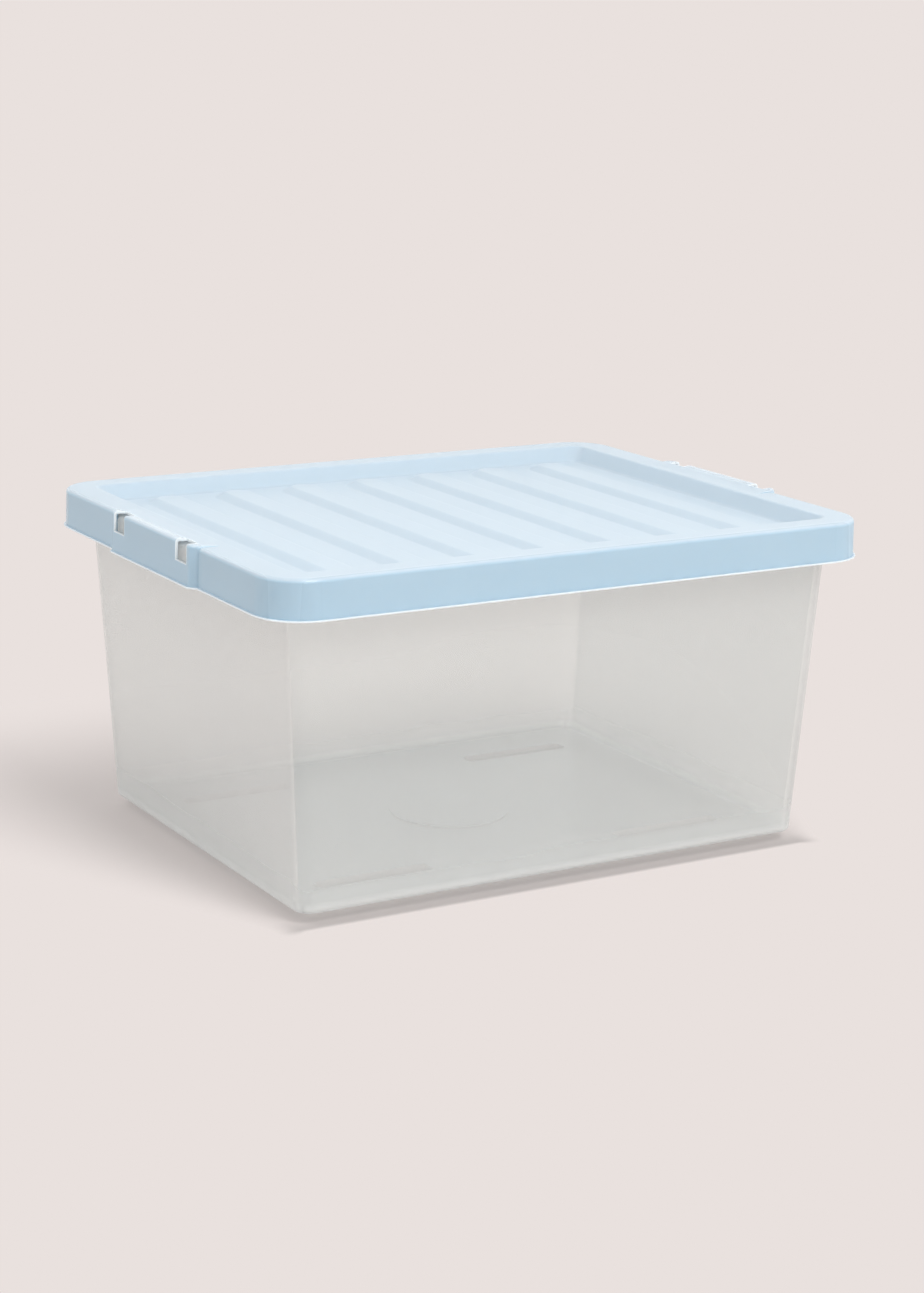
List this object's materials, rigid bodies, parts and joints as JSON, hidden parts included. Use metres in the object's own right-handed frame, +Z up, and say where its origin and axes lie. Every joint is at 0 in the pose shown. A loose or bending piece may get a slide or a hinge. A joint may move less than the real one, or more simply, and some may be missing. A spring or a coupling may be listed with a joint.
{
  "type": "under bed storage box",
  "caption": "Rectangular storage box with a tapered frosted tub on feet and a ribbed clip-down lid that lifts off",
  "frame": {"origin": "centre of the footprint, on the floor the feet stand on", "axes": "+X along the long side, +Y towards the back, +Z up"},
  "size_m": [0.53, 0.411, 0.2671],
  "materials": {
    "tub_frosted": "frosted translucent polypropylene, satin",
    "lid_blue": "pale blue polypropylene, soft gloss"
  },
  "bodies": {
    "tub": {"tub": "tub_frosted"},
    "lid": {"lid": "lid_blue"}
  },
  "joints": [
    {"name": "lid_lift", "type": "slide", "parent": "tub", "child": "lid", "axis": [0, 0, 1], "range_m": [0, 0.15]}
  ]
}
